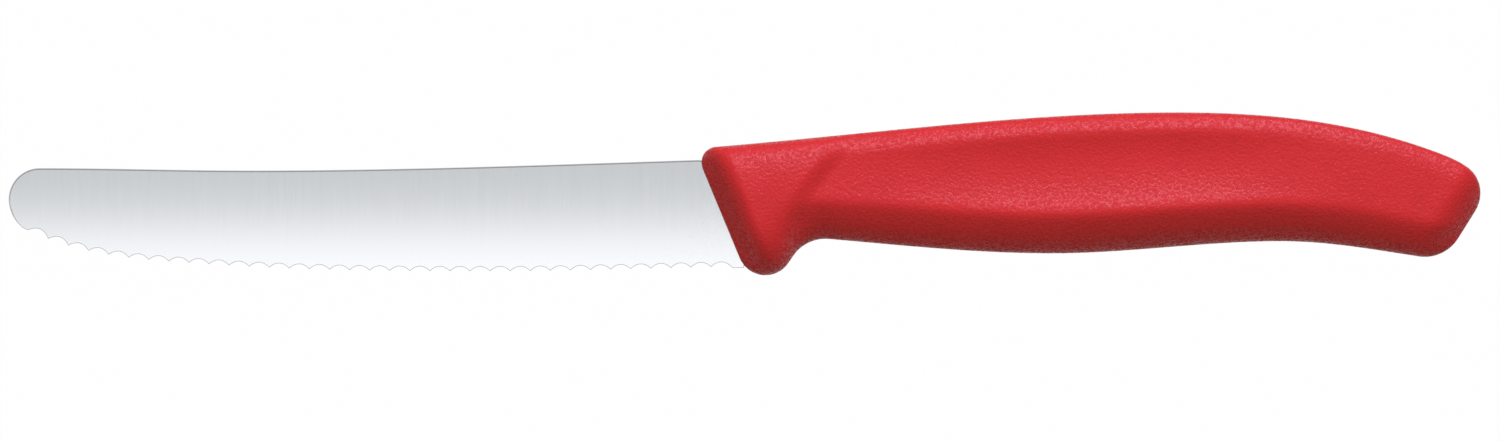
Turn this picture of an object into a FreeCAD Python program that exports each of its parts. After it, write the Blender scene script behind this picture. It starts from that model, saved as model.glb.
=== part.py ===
# A serrated tomato knife: a stamped steel blade with a tang, and a plastic handle moulded round the tang.
#
# Millimetres. The shapes are drawn in a side view: X runs from the front of the handle towards the butt,
# Y towards the spine and Z out of the blade's side, with Z = 0 on the blade's middle plane. The drawing's
# origin is level with the spine, at the foremost point of the handle. The finished pieces are moved so
# that the knife lies on its side on Z = 0, with its box centred over the origin.
import FreeCAD, Part

import math
import os

Vector = FreeCAD.Vector

# Blade: outline
BLADE_LENGTH = 110.25  # heel to tip
SPINE_RISE = 0.09  # spine above the drawing's origin where it enters the handle
SPINE_SLOPE = 1.83  # degrees, where it enters the handle
SPINE_DIP = 1.5  # lowest point of the spine, below the drawing's origin
TIP_DROP = 1.14  # top of the round tip, below the drawing's origin
TIP_TOP_RADIUS = 4.7
TIP_LOW_RADIUS = 5.3
TIP_EDGE_TURN = 8.0  # degrees, corner between the round tip and the edge
HEEL_DEPTH = 16.1  # edge at the handle, below the drawing's origin
HEEL_SLOPE = 1.15  # degrees
EDGE_SAG = 0.75  # lowest point of the edge, below the heel
EDGE_DEPTH = HEEL_DEPTH + EDGE_SAG
CURVE_RISE = 0.39  # place where the edge starts to turn up to the tip, above the heel
CURVE_DEPTH = HEEL_DEPTH - CURVE_RISE
CURVE_SLOPE = 4.12  # degrees
SPINE_DIP_SHARE = 0.65  # places along the blade, from handle to tip
EDGE_LOW_SHARE = 0.31
CURVE_SHARE = 0.72

# Blade: thickness and grind
SPINE_THICKNESS = 1.2  # after grinding, level with the drawing's origin
EDGE_THICKNESS = 0.4  # after grinding, at the lowest point of the edge
GRIND_DEPTH = 0.025  # steel that grinding takes off each side, level with the drawing's origin
STRIP_THICKNESS = SPINE_THICKNESS + 2 * GRIND_DEPTH  # the steel strip, and so the tang
SPINE_ROUND = 0.25
CUT_OVERRUN = 1.0  # how far cutting shapes run past the steel

# Blade: wavy edge, ground on the back side only
WAVE_PITCH = 3.013
WAVE_DEPTH = 0.76
WAVE_BEVEL = 20.0  # degrees between the ground bevel and the blade's middle plane
WAVE_TRIM = 0.15  # steel that the wave grind takes off the tooth tips
TIP_PLAIN = 2.2  # plain length at the tip, along X
HEEL_PLAIN = 1.87  # plain length at the heel, along X

# Tang, inside the handle
TANG_LENGTH = 72.0  # from the foremost point of the handle
TANG_TOP = -0.6
TANG_HEIGHT = 8.6
SHOULDER_LENGTH = 4.5  # from the handle's front face to the tang's own height
GRIND_RUN_IN = 2.5  # how far the grind runs on inside the handle
TANG_END_RADIUS = 3.0
KEY_HOLE_RADIUS = 2.0
KEY_HOLE_FIRST = 27.0
KEY_HOLE_SPACING = 26.0
KEY_HOLE_COUNT = 2

# Handle: outline
HANDLE_LENGTH = 116.8  # foremost point to butt
FRONT_SLANT = 22.5  # degrees from upright
FRONT_RADIUS = 2.35
FRONT_DROP = 0.28  # centre of the front top corner, below the drawing's origin
TOP_SLOPE = 4.7  # degrees, behind the front top corner
CROWN_HEIGHT = 7.2
CROWN_SHARE = 0.61  # place of the crown along the handle
GUARD_LIP = 1.13  # guard, below the blade's heel
GUARD_DEPTH = HEEL_DEPTH + GUARD_LIP
GUARD_RADIUS = 4.17
GUARD_BACK = 55.5  # degrees from level
NECK_COVER = 2.57  # plastic under the tang at the neck
NECK_DEPTH = TANG_HEIGHT - TANG_TOP + NECK_COVER
NECK_RADIUS = 5.85
NECK_SLOPE = 5.0  # degrees, behind the neck
BELLY_DEPTH = 13.95
BELLY_SHARE = 0.45
HOLLOW_DEPTH = 12.12
HOLLOW_SHARE = 0.744
BUTT_DROP = 5.0  # centre of the butt's top corner, below the drawing's origin
BUTT_RADIUS = 4.9
BUTT_TOP_SLOPE = 35.0  # degrees
SHOULDER_AT = 5.92  # where the top starts to bend into that corner, from the butt
SHOULDER_HEIGHT = 0.96
SHOULDER_SLOPE = 21.0  # degrees
REAR_SLANT = 32.1  # degrees from upright
BUTT_HEEL_DEPTH = 14.48
BUTT_HEEL_RADIUS = 5.85
BUTT_HEEL_SLOPE = 8.8  # degrees

# Handle: thickness, over both sides
FRONT_FACE_THICKNESS = 2.2
BLOCK_THICKNESS = 12.6
NECK_THICKNESS = 10.8  # over the lower ridges, before these are rounded
PALM_THICKNESS = 13.0
TAIL_THICKNESS = 11.4
BUTT_THICKNESS = 10.6
REAR_FACE_THICKNESS = 1.6
NECK_CREST = 10.2  # over the upper ridges
PALM_CREST = 12.0
FRONT_BEVEL = 5.2  # bevel from the front face to the sides, along X
FRONT_BEVEL_ROUND = 3.2  # its rounded part, next to the sides
REAR_ROUND = 6.5  # rounding from the rear face into the sides

# Handle: side hollow for thumb and finger, between an upper and a lower ridge
SCOOP_DEPTH = 0.95
NECK_SCOOP_DEPTH = 0.1
BLOCK_RIM = 9.2  # height of the upper flank, from the upper ridge to the top
RIM = 2.4
RIM_FALL = 1.2  # how far the grip's upper flank falls before it turns into the top
TAIL_RIM_FALL = 0.5
RIDGE_ROUND = 1.3  # reach of the rounding of both ridges
BLOCK_BELLY = 9.0  # height of the lower flank, from the bottom to the lower ridge
BELLY = 6.0
TAIL_BELLY = 5.6
NECK_AT = 20.0  # from the front of the handle
WALL_AT = 13.5  # foremost place of the wall between block and grip
WALL_LEVEL = -9.0  # height where the wall starts to sweep back
WALL_SWEEP_RISE = 10.0  # height above that level, where it is swept back by WALL_SWEEP_BACK
WALL_SWEEP_BACK = 6.4
WALL_SWEEP_POWER = 1.3
WALL_WIDTH = 3.4
PALM_SHARE = 0.56
SCOOP_START_SHARE = 0.46
SCOOP_END_SHARE = 0.61
TAIL_SHARE = 0.84
BUTT_AT = 7.0  # from the butt

# Fineness of the handle's surface
FACE_INSET = 0.02  # front and rear faces lie this far inside the side view's outline
ROUND_RIB_COUNT = 10
NECK_RIB_COUNT = 24
BODY_RIB_COUNT = 32
RIB_POINT_COUNT = 44
RIB_STEP_COUNT = 600


def unit(degrees):
    """Unit vector at an angle from +X in the side view."""
    return Vector(math.cos(math.radians(degrees)), math.sin(math.radians(degrees)), 0)


def slope(degrees):
    return math.tan(math.radians(degrees))


def arc(centre, radius, start, end):
    """Arc edge about a centre, between two angles in degrees."""
    angles = (start, (start + end) / 2, end)
    return Part.Arc(*[centre + unit(a) * radius for a in angles]).toShape()


def line(start, end):
    return Part.LineSegment(start, end).toShape()


def cubic(points):
    """Edges of a smooth curve through (x, y, slope) points, a cubic in x between neighbours."""
    edges = []
    for (x0, y0, m0), (x1, y1, m1) in zip(points, points[1:]):
        third = (x1 - x0) / 3
        curve = Part.BezierCurve()
        curve.setPoles([Vector(x0, y0, 0), Vector(x0 + third, y0 + m0 * third, 0),
                        Vector(x1 - third, y1 - m1 * third, 0), Vector(x1, y1, 0)])
        edges.append(curve.toShape())
    return edges


def cubic_at(points, x):
    """Height of that curve at x."""
    for (x0, y0, m0), (x1, y1, m1) in zip(points, points[1:]):
        if x <= x1 or (x1, y1, m1) == points[-1]:
            break
    span = x1 - x0
    t = (x - x0) / span
    return (y0 * (1 + 2 * t) * (1 - t) ** 2 + m0 * span * t * (1 - t) ** 2
            + y1 * t * t * (3 - 2 * t) + m1 * span * t * t * (t - 1))


def through(stations, x):
    """Value at x of a smooth curve through (place, value) stations, level at its ends and turns."""
    places = [p for p, _ in stations]
    values = [v for _, v in stations]
    if x <= places[0]:
        return values[0]
    if x >= places[-1]:
        return values[-1]
    rises = [(v1 - v0) / (p1 - p0) for p0, p1, v0, v1 in zip(places, places[1:], values, values[1:])]
    slopes = [0.0]
    for before, after in zip(rises, rises[1:]):
        slopes.append(2 * before * after / (before + after) if before * after > 0 else 0.0)
    slopes.append(0.0)
    return cubic_at(list(zip(places, values, slopes)), x)


# Handle outline: the arcs' centres follow from the sizes, so that lines and arcs meet smoothly.
FRONT_NORMAL = unit(180 + FRONT_SLANT)
REAR_NORMAL = unit(-REAR_SLANT)
GUARD_NORMAL = unit(GUARD_BACK - 90)
FRONT_CENTRE = Vector(FRONT_RADIUS, -FRONT_DROP, 0)
BUTT_CENTRE = Vector(HANDLE_LENGTH - BUTT_RADIUS, -BUTT_DROP, 0)

# The roundings of guard and neck have room for each other in the drop from neck to guard.
GUARD_ROOM = (GUARD_DEPTH - NECK_DEPTH) / (1 - math.cos(math.radians(GUARD_BACK)))
GUARD_FIT = min(1.0, 0.95 * GUARD_ROOM / (GUARD_RADIUS + NECK_RADIUS))
GUARD_ROUND = GUARD_RADIUS * GUARD_FIT
NECK_ROUND = NECK_RADIUS * GUARD_FIT


def touching(centre, radius, normal, other_radius, other_y, side=1):
    """Centre, at height other_y, of an arc that touches the same straight line as an arc already placed.
    The normal points out of the handle; side is -1 where the new arc lies outside the line."""
    gap = radius - side * other_radius
    return Vector(centre.x + (gap - (other_y - centre.y) * normal.y) / normal.x, other_y, 0)


GUARD_CENTRE = touching(FRONT_CENTRE, FRONT_RADIUS, FRONT_NORMAL, GUARD_ROUND, GUARD_ROUND - GUARD_DEPTH)
NECK_CENTRE = touching(GUARD_CENTRE, GUARD_ROUND, GUARD_NORMAL, NECK_ROUND, -NECK_DEPTH - NECK_ROUND, -1)
HEEL_CENTRE = touching(BUTT_CENTRE, BUTT_RADIUS, REAR_NORMAL, BUTT_HEEL_RADIUS,
                       BUTT_HEEL_RADIUS - BUTT_HEEL_DEPTH)


def front_x(y):
    """X of the handle's straight front line at a height."""
    point = FRONT_CENTRE + FRONT_NORMAL * FRONT_RADIUS
    return point.x - (y - point.y) * slope(FRONT_SLANT)


def rear_x(y):
    """X of the handle's straight rear line at a height."""
    point = BUTT_CENTRE + REAR_NORMAL * BUTT_RADIUS
    return point.x + (y - point.y) * slope(REAR_SLANT)


def handle_outline():
    """Face of the handle's side view."""
    top_start = FRONT_CENTRE + unit(90 + TOP_SLOPE) * FRONT_RADIUS
    top_end = BUTT_CENTRE + unit(90 - BUTT_TOP_SLOPE) * BUTT_RADIUS
    low_start = NECK_CENTRE + unit(90 - NECK_SLOPE) * NECK_ROUND
    low_end = HEEL_CENTRE + unit(-90 - BUTT_HEEL_SLOPE) * BUTT_HEEL_RADIUS
    top = cubic([(top_start.x, top_start.y, slope(TOP_SLOPE)),
                 (HANDLE_LENGTH * CROWN_SHARE, CROWN_HEIGHT, 0),
                 (HANDLE_LENGTH - SHOULDER_AT, SHOULDER_HEIGHT, -slope(SHOULDER_SLOPE)),
                 (top_end.x, top_end.y, -slope(BUTT_TOP_SLOPE))])
    low = cubic([(low_start.x, low_start.y, -slope(NECK_SLOPE)),
                 (HANDLE_LENGTH * BELLY_SHARE, -BELLY_DEPTH, 0),
                 (HANDLE_LENGTH * HOLLOW_SHARE, -HOLLOW_DEPTH, 0),
                 (low_end.x, low_end.y, -slope(BUTT_HEEL_SLOPE))])
    front = [arc(FRONT_CENTRE, FRONT_RADIUS, 180 + FRONT_SLANT, 90 + TOP_SLOPE)]
    butt = [arc(BUTT_CENTRE, BUTT_RADIUS, 90 - BUTT_TOP_SLOPE, -REAR_SLANT),
            line(BUTT_CENTRE + REAR_NORMAL * BUTT_RADIUS, HEEL_CENTRE + REAR_NORMAL * BUTT_HEEL_RADIUS),
            arc(HEEL_CENTRE, BUTT_HEEL_RADIUS, -REAR_SLANT, -90 - BUTT_HEEL_SLOPE)]
    neck = [arc(NECK_CENTRE, NECK_ROUND, 90 - NECK_SLOPE, 90 + GUARD_BACK),
            line(NECK_CENTRE - GUARD_NORMAL * NECK_ROUND, GUARD_CENTRE + GUARD_NORMAL * GUARD_ROUND),
            arc(GUARD_CENTRE, GUARD_ROUND, GUARD_BACK - 90, FRONT_SLANT - 180),
            line(GUARD_CENTRE + FRONT_NORMAL * GUARD_ROUND, FRONT_CENTRE + FRONT_NORMAL * FRONT_RADIUS)]
    return Part.Face(Part.Wire(front + top + butt + low[::-1] + neck))


def flank(share, power, end_power=2.0):
    """Relative thickness along a rounded flank, from 0 at its outer end to 1 at its ridge.
    A small power makes the ridge crisp, and a large end power makes the outer end blunt."""
    return max(0.0, 1 - abs(1 - share) ** power) ** (1 / end_power)


def side_profile(up, height, rim, belly, crest, ridge, powers, scoop, fall):
    """Half thickness at a distance up from the bottom outline: a lower flank up to a ridge, a scooped side
    and an upper flank from a second ridge, the crest, down a fall and over to the top outline."""
    rim_power, rim_end_power, belly_power, belly_end_power = powers
    fit = min(1.0, 0.98 * height / (rim + belly))
    rim = rim * fit
    belly = belly * fit
    if up <= belly:
        return ridge * flank(up / belly, belly_power, belly_end_power)
    if up >= height - rim:
        left = (height - up) / rim
        return (crest - fall * (1 - left)) * flank(left, rim_power, rim_end_power)
    down = (height - rim - up) / (height - rim - belly)
    return crest + (ridge - crest) * down - scoop * 4 * down * (1 - down)


def bevel_share(place):
    """Share of the full thickness at a place along the front bevel: straight, then rounded into the side."""
    rounded = min(FRONT_BEVEL_ROUND, 0.9 * FRONT_BEVEL)
    steepness = 1 / (FRONT_BEVEL - rounded / 2)
    left = FRONT_BEVEL - place
    if left >= rounded:
        return steepness * place
    return 1 - steepness * left * left / (2 * rounded)


def grip_share(x, y):
    """0 on the block behind the blade, 1 on the grip, with a curved wall from one down to the other."""
    rise = max(0.0, y - WALL_LEVEL) / WALL_SWEEP_RISE
    centre = WALL_AT + WALL_SWEEP_BACK * rise ** WALL_SWEEP_POWER
    lean = WALL_SWEEP_POWER * WALL_SWEEP_BACK / WALL_SWEEP_RISE * rise ** (WALL_SWEEP_POWER - 1)
    share = (x - centre) / math.sqrt(1 + lean * lean) / WALL_WIDTH + 0.5
    share = min(1.0, max(0.0, share))
    return share * share * (3 - 2 * share)


def half_thickness(x, point, up, height):
    """Half thickness of the handle's body on the rib at x, at a point up from the bottom outline."""
    palm = HANDLE_LENGTH * PALM_SHARE
    tail = HANDLE_LENGTH * TAIL_SHARE
    butt = HANDLE_LENGTH - BUTT_AT
    share = grip_share(point.x, point.y)
    block = side_profile(up, height, BLOCK_RIM, BLOCK_BELLY, BLOCK_THICKNESS / 2, BLOCK_THICKNESS / 2,
                         (2.0, 6.5, 2.2, 1.6), 0, 0)
    rear = [(tail, TAIL_THICKNESS), (butt, BUTT_THICKNESS)]
    ridge = through([(NECK_AT, NECK_THICKNESS), (palm, PALM_THICKNESS)] + rear, x) / 2
    crest = through([(NECK_AT, NECK_CREST), (palm, PALM_CREST)] + rear, x) / 2
    scoop = through([(NECK_AT, NECK_SCOOP_DEPTH), (HANDLE_LENGTH * SCOOP_START_SHARE, SCOOP_DEPTH),
                     (HANDLE_LENGTH * SCOOP_END_SHARE, SCOOP_DEPTH), (tail, 0)], x)
    fall = through([(palm, RIM_FALL), (tail, TAIL_RIM_FALL)], x)
    belly = through([(palm, BELLY), (tail, TAIL_BELLY)], x)
    reach = min(RIDGE_ROUND, up, height - up)
    grip = 0.0
    for step, weight in ((-0.8, 1), (-0.4, 2), (0, 3), (0.4, 2), (0.8, 1)):
        near = side_profile(up + reach * step, height, RIM, belly, crest, ridge,
                            (16.0, 6.0, 1.1, 1.75), scoop, fall)
        grip += near * weight / 9
    return block + (grip - block) * share


def handle_ribs():
    """Places along the handle at rib level, each with the shares of front and rear rounding reached there."""
    level = -NECK_DEPTH / 2
    start = front_x(level) + FACE_INSET
    end = rear_x(level) - FACE_INSET
    turns = [math.pi / 2 * (k / ROUND_RIB_COUNT) ** 1.5 for k in range(ROUND_RIB_COUNT + 1)]
    steps = [FRONT_BEVEL * k / ROUND_RIB_COUNT for k in range(ROUND_RIB_COUNT + 1)]
    ribs = [(start + s, bevel_share(s), 1.0) for s in steps]
    front = start + FRONT_BEVEL
    rear = end - REAR_ROUND
    neck = NECK_AT + WALL_WIDTH
    ribs += [(front + (neck - front) * k / NECK_RIB_COUNT, 1.0, 1.0) for k in range(1, NECK_RIB_COUNT)]
    ribs += [(neck + (rear - neck) * k / BODY_RIB_COUNT, 1.0, 1.0) for k in range(BODY_RIB_COUNT)]
    ribs += [(end - REAR_ROUND * (1 - math.cos(a)), 1.0, math.sin(a) ** 1.8) for a in turns[::-1]]
    return level, ribs


def evenly(points, count):
    """Points at even distances along a fine row of points, ends included."""
    steps = [(q - p).Length for p, q in zip(points, points[1:])]
    total = sum(steps)
    row = [points[0]]
    passed = 0.0
    k = 0
    for n in range(1, count):
        while passed + steps[k] < total * n / count:
            passed += steps[k]
            k += 1
        row.append(points[k] + (points[k + 1] - points[k]) * ((total * n / count - passed) / steps[k]))
    return row + [points[-1]]


def handle_surface():
    """Surface of the handle's +Z side, from the bottom outline over the side to the top outline."""
    outline = handle_outline()
    level, ribs = handle_ribs()
    leans = [(ribs[ROUND_RIB_COUNT][0], FRONT_SLANT), (2 * NECK_AT, 0), (HANDLE_LENGTH * HOLLOW_SHARE, 0),
             (ribs[-1 - ROUND_RIB_COUNT][0], -REAR_SLANT)]
    rows = []
    for x, front, rear in ribs:
        up = unit(90 + through(leans, x))
        middle = Vector(x, level, 0)
        chord = outline.common(line(middle - up * HANDLE_LENGTH, middle + up * HANDLE_LENGTH))
        ends = sorted((v.Point for v in chord.Vertexes), key=lambda p: p.y)
        bottom = ends[0]
        height = (ends[-1] - bottom).Length
        profile = []
        for k in range(RIB_STEP_COUNT + 1):
            rise = height * (1 - math.cos(math.pi * k / RIB_STEP_COUNT)) / 2
            point = bottom + up * rise
            face = flank(min(rise, height - rise) / (height / 2), 4.0, 4.0)
            z = half_thickness(x, point, rise, height)
            z = face * FRONT_FACE_THICKNESS / 2 * (1 - front) + z * front
            z = face * REAR_FACE_THICKNESS / 2 * (1 - rear) + z * rear
            profile.append(point + Vector(0, 0, z))
        profile[0].z = 0
        profile[-1].z = 0
        rows.append(evenly(profile, RIB_POINT_COUNT))
    surface = Part.BSplineSurface()
    surface.interpolate(rows)
    return surface


def handle_body():
    """Solid handle, before the tang's room is taken out."""
    surface = handle_surface()
    side = surface.toShape()
    u0, u1, v0, v1 = surface.bounds()
    faces = [side, side.mirror(Vector(), Vector(0, 0, 1))]
    for u in (u0, u1):
        edge = surface.uIso(u).toShape()
        faces.append(Part.Face(Part.Wire([edge, edge.mirror(Vector(), Vector(0, 0, 1))])))
    shell = Part.Shell(faces)
    shell.sewShape()
    solid = Part.Solid(shell)
    if solid.Volume < 0:
        solid.reverse()
    return solid


# Blade: places that follow from the sizes
HEEL_X = front_x(-HEEL_DEPTH)
TIP_X = HEEL_X - BLADE_LENGTH


def spine_points():
    return [(TIP_X + TIP_TOP_RADIUS, -TIP_DROP, 0), (TIP_X * SPINE_DIP_SHARE, -SPINE_DIP, 0),
            (front_x(SPINE_RISE), SPINE_RISE, slope(SPINE_SLOPE))]


def edge_points():
    """Edge of the blade before the waves are ground."""
    tip_centre = Vector(TIP_X + TIP_LOW_RADIUS, -TIP_DROP - TIP_TOP_RADIUS, 0)
    start = TIP_X + TIP_PLAIN
    back = tip_centre.x - start
    drop = math.sqrt(TIP_LOW_RADIUS ** 2 - back ** 2)
    turned = math.degrees(math.atan2(back, drop)) - TIP_EDGE_TURN
    return [(start, tip_centre.y - drop, -slope(turned)),
            (TIP_X * CURVE_SHARE, -CURVE_DEPTH, -slope(CURVE_SLOPE)),
            (TIP_X * EDGE_LOW_SHARE, -EDGE_DEPTH, 0), (HEEL_X, -HEEL_DEPTH, slope(HEEL_SLOPE))]


def tip_edges():
    """Round tip: two arcs that meet at the foremost point."""
    top = Vector(TIP_X + TIP_TOP_RADIUS, -TIP_DROP - TIP_TOP_RADIUS, 0)
    low = Vector(TIP_X + TIP_LOW_RADIUS, top.y, 0)
    x, y, _ = edge_points()[0]
    end = math.degrees(math.atan2(y - low.y, x - low.x)) % 360
    return [arc(top, TIP_TOP_RADIUS, 90, 180), arc(low, TIP_LOW_RADIUS, 180, end)]


def blade_thickness(y):
    return SPINE_THICKNESS + (EDGE_THICKNESS - SPINE_THICKNESS) * -y / EDGE_DEPTH


def grind():
    """What grinding leaves of the strip: a wedge that thins from spine to edge."""
    top = SPINE_RISE + CUT_OVERRUN
    low = -EDGE_DEPTH - CUT_OVERRUN
    half_top = blade_thickness(top) / 2
    half_low = blade_thickness(low) / 2
    corners = [(top, half_top), (low, half_low), (low, -half_low), (top, -half_top), (top, half_top)]
    wedge = Part.Face(Part.makePolygon([Vector(TIP_X - CUT_OVERRUN, y, z) for y, z in corners]))
    return wedge.extrude(Vector(HEEL_X - TIP_X + GRIND_RUN_IN + 2 * CUT_OVERRUN, 0, 0))


def ground_blade():
    """The blade's ground part: the outline, thinned from spine to edge, with a rounded spine and tip."""
    spine = cubic(spine_points())
    edge = cubic(edge_points())
    rear = line(edge[-1].Vertexes[-1].Point, spine[-1].Vertexes[-1].Point)
    outline = Part.Face(Part.Wire(spine[::-1] + tip_edges() + edge + [rear]))
    slab = outline.extrude(Vector(0, 0, 2 * STRIP_THICKNESS))
    slab.translate(Vector(0, 0, -STRIP_THICKNESS))
    blade = slab.common(grind())
    rounded = []
    for e in blade.Edges:
        middle = e.valueAt((e.FirstParameter + e.LastParameter) / 2)
        flat = Vector(middle.x, middle.y, 0)
        on_back = min(Part.Vertex(flat).distToShape(s)[0] for s in spine + tip_edges()) < 1e-4
        if on_back and abs(middle.z) > 0.3 * EDGE_THICKNESS:
            rounded.append(e)
    return blade.makeFillet(SPINE_ROUND, rounded)


def wave_cutters():
    """Grinding wheel paths for the waves: an inclined cylinder for each wave, open on the back side."""
    tips = [(x, y + WAVE_TRIM, m) for x, y, m in edge_points()]
    end = HEEL_X - HEEL_PLAIN
    count = int((end - TIP_X - TIP_PLAIN) / WAVE_PITCH + 0.5)
    tilt = math.radians(WAVE_BEVEL)
    ratio = 2 * WAVE_DEPTH * math.sin(tilt) / WAVE_PITCH
    radius = WAVE_PITCH * (1 + ratio * ratio) / (4 * ratio)
    reach = 2 * WAVE_PITCH
    cutters = []
    for k in range(count):
        x1 = end - k * WAVE_PITCH
        x0 = x1 - WAVE_PITCH
        start = Vector(x0, cubic_at(tips, x0), 0)
        stop = Vector(x1, cubic_at(tips, x1), 0)
        along = (stop - start).normalize()
        inward = Vector(-along.y, along.x, 0)
        crest = (start + stop) * 0.5 + inward * WAVE_DEPTH
        crest.z = blade_thickness(crest.y) / 2
        axis = inward * math.cos(tilt) - Vector(0, 0, math.sin(tilt))
        into = inward * math.sin(tilt) + Vector(0, 0, math.cos(tilt))
        cutters.append(Part.makeCylinder(radius, 2 * reach, crest - into * radius - axis * reach, axis))
    return cutters


def tang():
    """Strip inside the handle, with holes that the handle's plastic fills. It is ground only at its front."""
    low = TANG_TOP - TANG_HEIGHT
    r = TANG_END_RADIUS
    front_top = Vector(front_x(SPINE_RISE), SPINE_RISE, 0)
    front_low = Vector(HEEL_X, -HEEL_DEPTH, 0)
    top_in = Vector(front_top.x + SHOULDER_LENGTH, TANG_TOP, 0)
    low_in = Vector(front_x(low) + SHOULDER_LENGTH, low, 0)
    top_centre = Vector(TANG_LENGTH - r, TANG_TOP - r, 0)
    low_centre = Vector(TANG_LENGTH - r, low + r, 0)
    end_top = arc(top_centre, r, 90, 0)
    end_low = arc(low_centre, r, 0, -90)
    edges = [line(front_low, front_top), line(front_top, top_in),
             line(top_in, end_top.Vertexes[0].Point), end_top,
             line(end_top.Vertexes[-1].Point, end_low.Vertexes[0].Point), end_low,
             line(end_low.Vertexes[-1].Point, low_in), line(low_in, front_low)]
    strip = Part.Face(Part.Wire(edges)).extrude(Vector(0, 0, STRIP_THICKNESS))
    strip.translate(Vector(0, 0, -STRIP_THICKNESS / 2))
    for k in range(KEY_HOLE_COUNT):
        centre = Vector(KEY_HOLE_FIRST + k * KEY_HOLE_SPACING, TANG_TOP - TANG_HEIGHT / 2, -STRIP_THICKNESS)
        strip = strip.cut(Part.makeCylinder(KEY_HOLE_RADIUS, 2 * STRIP_THICKNESS, centre))
    run_in = Vector(GRIND_RUN_IN, 0, 0)
    corners = [front_low, front_low + run_in, front_top + run_in, front_top, front_low]
    front = Part.Face(Part.makePolygon(corners)).extrude(Vector(0, 0, 2 * STRIP_THICKNESS))
    front.translate(Vector(0, 0, -STRIP_THICKNESS))
    return strip.cut(front).fuse(strip.common(front).common(grind()))


def blade():
    steel = ground_blade()
    for cutter in wave_cutters():
        steel = steel.cut(cutter)
    return steel.fuse(tang())


def handle(steel):
    """The handle is moulded round the finished steel, so it has the steel's own shape inside."""
    return handle_body().cut(steel)


def main():
    os.makedirs("parts", exist_ok=True)
    steel = blade()
    pieces = {"blade": steel, "handle": handle(steel)}
    box = Part.makeCompound(list(pieces.values())).optimalBoundingBox(False, False)
    move = Vector(-box.Center.x, -box.Center.y, -box.ZMin)
    for name, shape in pieces.items():
        shape.translate(move)
        shape.exportStep("parts/" + name + ".step")


main()
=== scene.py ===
import math

import bmesh
import bpy
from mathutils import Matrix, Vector


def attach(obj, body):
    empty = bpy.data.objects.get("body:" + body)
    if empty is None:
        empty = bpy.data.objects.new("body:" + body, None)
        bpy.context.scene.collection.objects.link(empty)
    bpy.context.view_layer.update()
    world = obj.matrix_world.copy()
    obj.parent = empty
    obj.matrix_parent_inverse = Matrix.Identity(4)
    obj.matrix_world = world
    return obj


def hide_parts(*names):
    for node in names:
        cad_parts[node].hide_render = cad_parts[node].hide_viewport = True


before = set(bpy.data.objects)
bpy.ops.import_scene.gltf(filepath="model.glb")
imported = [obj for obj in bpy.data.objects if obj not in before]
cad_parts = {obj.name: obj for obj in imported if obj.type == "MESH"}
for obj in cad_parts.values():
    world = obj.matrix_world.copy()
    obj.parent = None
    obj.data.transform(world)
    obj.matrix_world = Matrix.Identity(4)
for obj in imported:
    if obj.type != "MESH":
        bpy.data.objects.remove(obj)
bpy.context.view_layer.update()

# Sizes in millimetres and degrees, in the drawing of the part's source: X from the handle's front
# towards the butt, Y towards the spine, Z out of the blade's side, origin level with the spine.

# Blade and tang
BLADE_LENGTH = 110.25
SPINE_RISE = 0.09
SPINE_SLOPE = 1.83
SPINE_DIP = 1.5
TIP_DROP = 1.14
TIP_TOP_RADIUS = 4.7
TIP_LOW_RADIUS = 5.3
TIP_EDGE_TURN = 8.0
HEEL_DEPTH = 16.1
HEEL_SLOPE = 1.15
EDGE_SAG = 0.75
EDGE_DEPTH = HEEL_DEPTH + EDGE_SAG
CURVE_RISE = 0.39
CURVE_DEPTH = HEEL_DEPTH - CURVE_RISE
CURVE_SLOPE = 4.12
SPINE_DIP_SHARE = 0.65
EDGE_LOW_SHARE = 0.31
CURVE_SHARE = 0.72
SPINE_THICKNESS = 1.2
EDGE_THICKNESS = 0.4
GRIND_DEPTH = 0.025
STRIP_THICKNESS = SPINE_THICKNESS + 2 * GRIND_DEPTH
SPINE_ROUND = 0.25
WAVE_PITCH = 3.013
WAVE_DEPTH = 0.76
WAVE_BEVEL = 20.0
WAVE_TRIM = 0.15
TIP_PLAIN = 2.2
HEEL_PLAIN = 1.87
TANG_LENGTH = 72.0
TANG_TOP = -0.6
TANG_HEIGHT = 8.6
SHOULDER_LENGTH = 4.5
GRIND_RUN_IN = 2.5
TANG_END_RADIUS = 3.0
KEY_HOLE_RADIUS = 2.0
KEY_HOLE_FIRST = 27.0
KEY_HOLE_SPACING = 26.0
KEY_HOLE_COUNT = 2

# Handle
HANDLE_LENGTH = 116.8
FRONT_SLANT = 22.5
FRONT_RADIUS = 2.35
FRONT_DROP = 0.28
TOP_SLOPE = 4.7
CROWN_HEIGHT = 7.2
CROWN_SHARE = 0.61
GUARD_LIP = 1.13
GUARD_DEPTH = HEEL_DEPTH + GUARD_LIP
GUARD_RADIUS = 4.17
GUARD_BACK = 55.5
NECK_COVER = 2.57
NECK_DEPTH = TANG_HEIGHT - TANG_TOP + NECK_COVER
NECK_RADIUS = 5.85
NECK_SLOPE = 5.0
BELLY_DEPTH = 13.95
BELLY_SHARE = 0.45
HOLLOW_DEPTH = 12.12
HOLLOW_SHARE = 0.744
BUTT_DROP = 5.0
BUTT_RADIUS = 4.9
BUTT_TOP_SLOPE = 35.0
BUTT_SHOULDER_AT = 5.92
BUTT_SHOULDER_HEIGHT = 0.96
BUTT_SHOULDER_SLOPE = 21.0
REAR_SLANT = 32.1
BUTT_HEEL_DEPTH = 14.48
BUTT_HEEL_RADIUS = 5.85
BUTT_HEEL_SLOPE = 8.8
FRONT_FACE_THICKNESS = 2.2
BLOCK_THICKNESS = 12.6
NECK_THICKNESS = 10.8
PALM_THICKNESS = 13.0
TAIL_THICKNESS = 11.4
BUTT_THICKNESS = 10.6
REAR_FACE_THICKNESS = 1.6
NECK_CREST = 10.2
PALM_CREST = 12.0
FRONT_BEVEL = 5.2
FRONT_BEVEL_ROUND = 3.2
REAR_ROUND = 6.5
SCOOP_DEPTH = 0.95
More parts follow.
